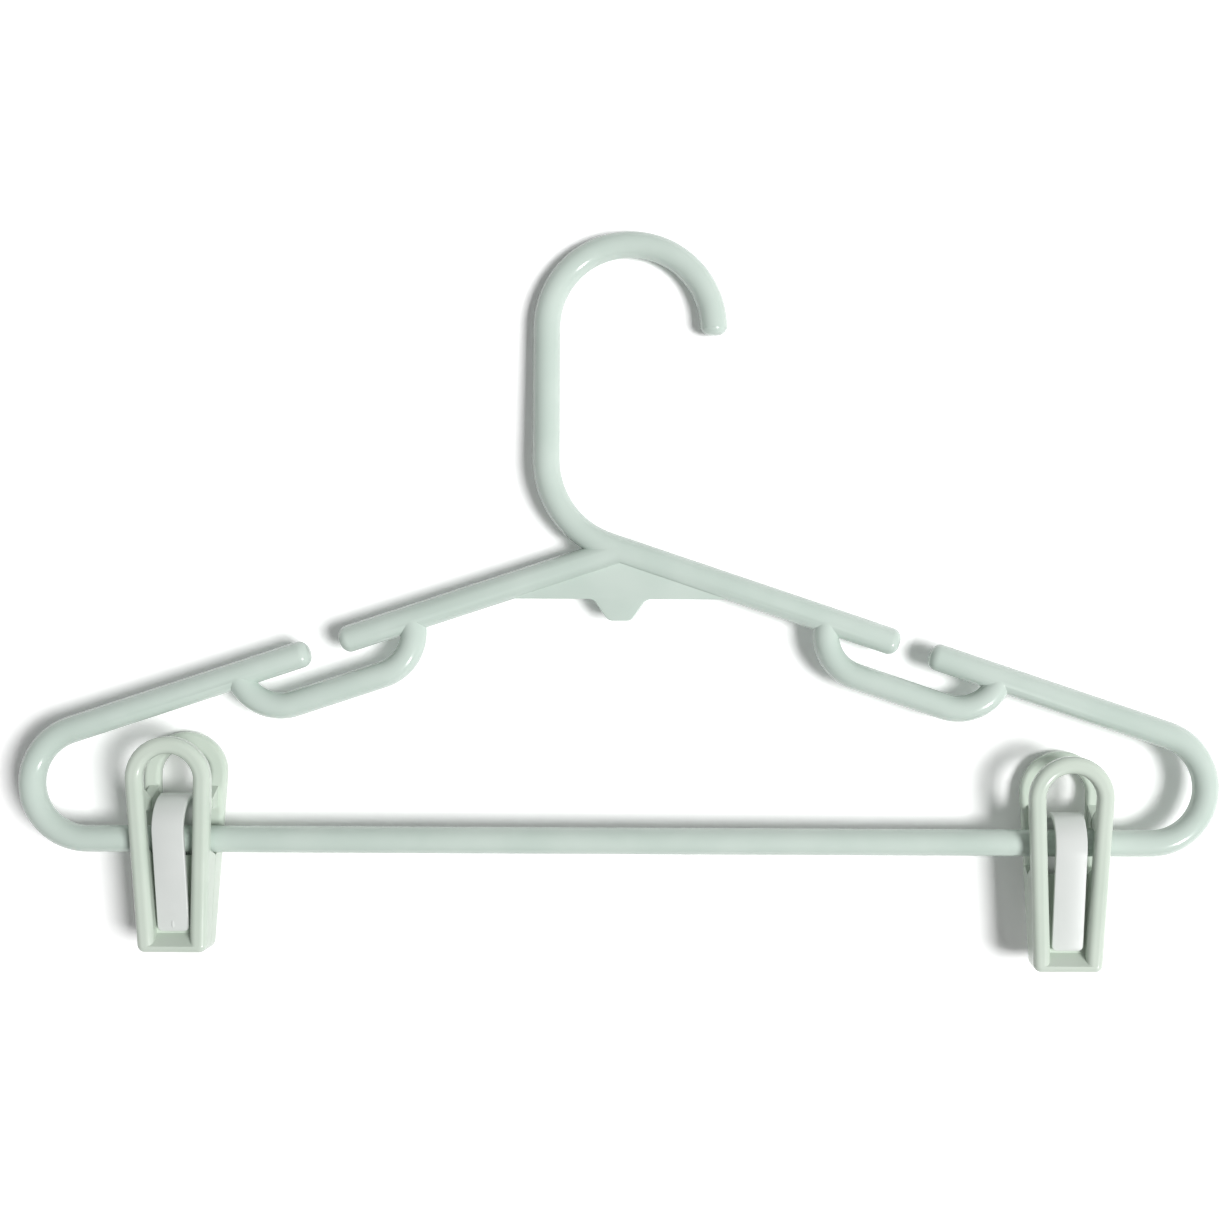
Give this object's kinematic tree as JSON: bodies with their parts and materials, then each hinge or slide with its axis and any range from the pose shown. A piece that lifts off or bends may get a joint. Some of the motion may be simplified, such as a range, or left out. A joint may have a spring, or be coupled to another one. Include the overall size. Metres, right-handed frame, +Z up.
{
  "type": "skirt hanger",
  "caption": "Moulded plastic hanger with a hook, sloping shoulders with strap notches, a trouser bar and sprung clips that slide along the bar to hold a skirt.",
  "frame": {"origin": "the point inside the hook that rests on the top of a wardrobe rail, in the middle plane of the rods", "axes": "+X along the trouser bar towards the side that the hook opens to, +Z up along the neck, -Y towards the viewer of the picture"},
  "size_m": [0.42, 0.028, 0.2577],
  "materials": {
    "hanger_plastic": "satin gloss",
    "clip_plastic": "satin gloss",
    "spring_plastic": "satin gloss"
  },
  "bodies": {
    "hanger": {"hanger_body": "hanger_plastic"},
    "left_clip": {"left_spring": "spring_plastic"},
    "left_front_jaw": {"left_front_jaw": "clip_plastic"},
    "left_back_jaw": {"left_back_jaw": "clip_plastic"},
    "right_clip": {"right_spring": "spring_plastic"},
    "right_front_jaw": {"right_front_jaw": "clip_plastic"},
    "right_back_jaw": {"right_back_jaw": "clip_plastic"}
  },
  "joints": [
    {"name": "left_clip_slide", "type": "slide", "parent": "hanger", "child": "left_clip", "axis": [1, 0, 0], "range_m": [-0.014, 0.138]},
    {"name": "left_front_jaw_hinge", "type": "hinge", "parent": "left_clip", "child": "left_front_jaw", "pos_m": [-0.1577, 0, -0.19166], "axis": [-1, 0, 0], "range_deg": [0, 12], "stiffness_Nm_per_rad": 0.5, "springref_deg": -11.46, "deforming": ["left_spring"]},
    {"name": "left_back_jaw_hinge", "type": "hinge", "parent": "left_clip", "child": "left_back_jaw", "pos_m": [-0.1577, 0, -0.19166], "axis": [1, 0, 0], "range_deg": [0, 12], "stiffness_Nm_per_rad": 0.5, "springref_deg": -11.46},
    {"name": "right_clip_slide", "type": "slide", "parent": "hanger", "child": "right_clip", "axis": [1, 0, 0], "range_m": [-0.14, 0.014]},
    {"name": "right_front_jaw_hinge", "type": "hinge", "parent": "right_clip", "child": "right_front_jaw", "pos_m": [0.1533, 0, -0.19706], "axis": [-1, 0, 0], "range_deg": [0, 12], "stiffness_Nm_per_rad": 0.5, "springref_deg": -11.46, "deforming": ["right_spring"]},
    {"name": "right_back_jaw_hinge", "type": "hinge", "parent": "right_clip", "child": "right_back_jaw", "pos_m": [0.1533, 0, -0.19706], "axis": [1, 0, 0], "range_deg": [0, 12], "stiffness_Nm_per_rad": 0.5, "springref_deg": -11.46}
  ],
  "couplings": [
    {"joint": "left_back_jaw_hinge", "follows": "left_front_jaw_hinge", "ratio": 1},
    {"joint": "right_back_jaw_hinge", "follows": "right_front_jaw_hinge", "ratio": 1}
  ]
}
